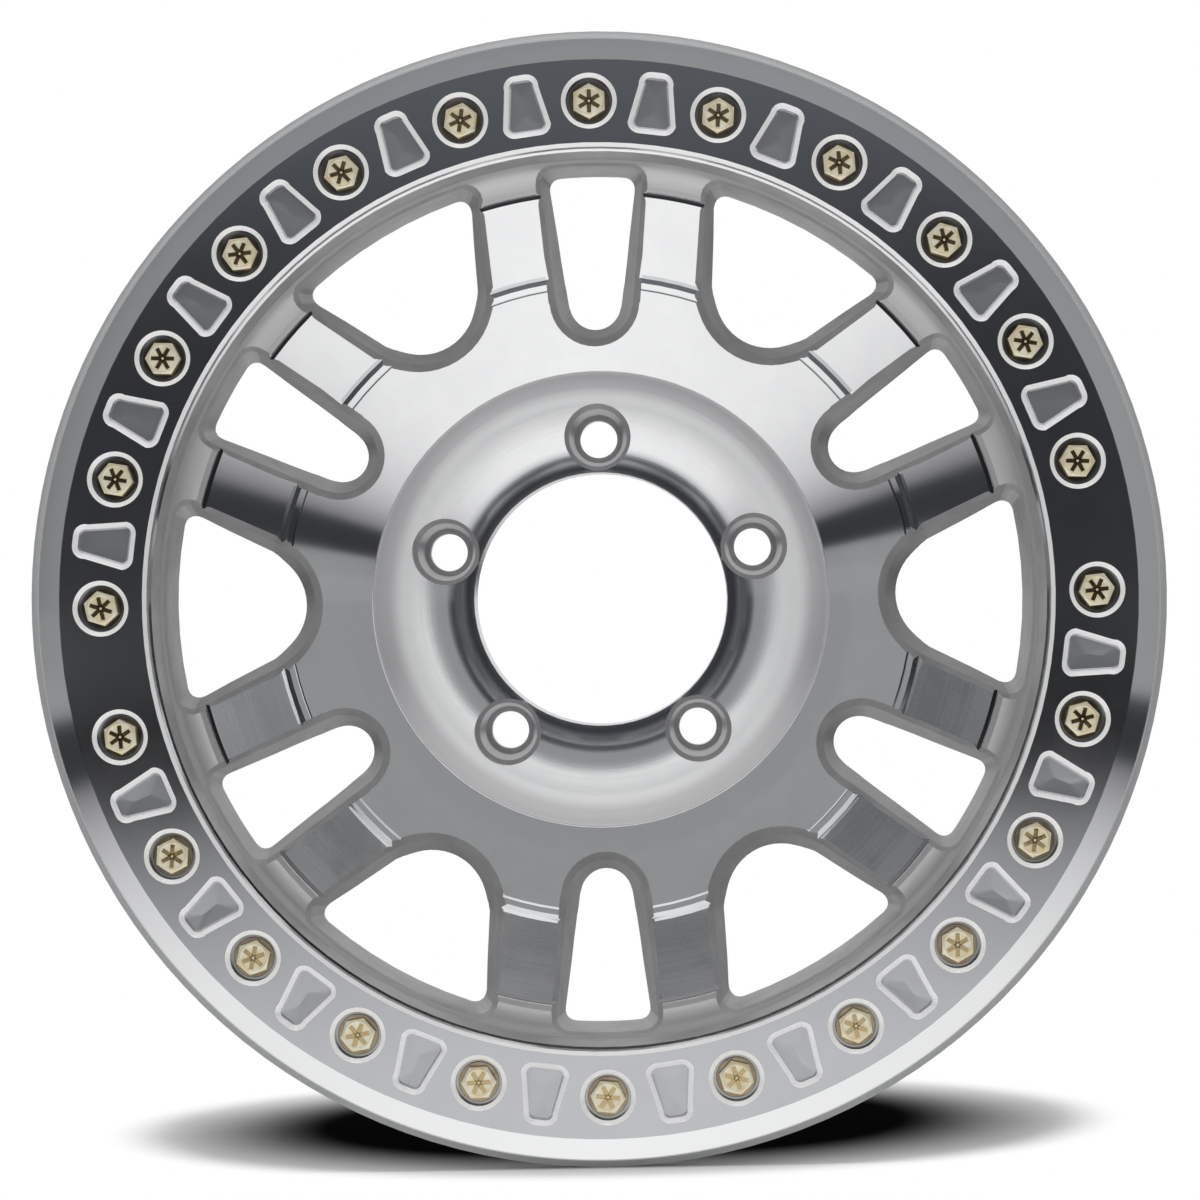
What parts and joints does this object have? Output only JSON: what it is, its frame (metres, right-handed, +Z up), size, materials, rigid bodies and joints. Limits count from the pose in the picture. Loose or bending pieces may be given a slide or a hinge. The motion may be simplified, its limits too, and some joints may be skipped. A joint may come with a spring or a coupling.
{
  "type": "car wheel",
  "caption": "Alloy car wheel with paired spokes and a bolted outer ring that clamps the outboard tyre bead.",
  "frame": {"origin": "centre of the hub mounting face, on the spin axis", "axes": "+Y along the spin axis, inboard, out of the hub mounting face; the clamp ring's face looks to -Y; +Z up, through one lug hole, one ring bolt and the middle of a narrow window"},
  "size_m": [0.4759, 0.2533, 0.476],
  "materials": {
    "cast_alloy": "machined face, cast windows, clear coat",
    "ring_alloy": "machined and polished",
    "bolt_zinc": "yellow zinc plated",
    "washer_zinc": "yellow zinc plated"
  },
  "bodies": {
    "root": {"wheel": "cast_alloy", "beadlock_ring": "ring_alloy", "ring_bolts": "bolt_zinc", "ring_washers": "washer_zinc"}
  },
  "joints": []
}
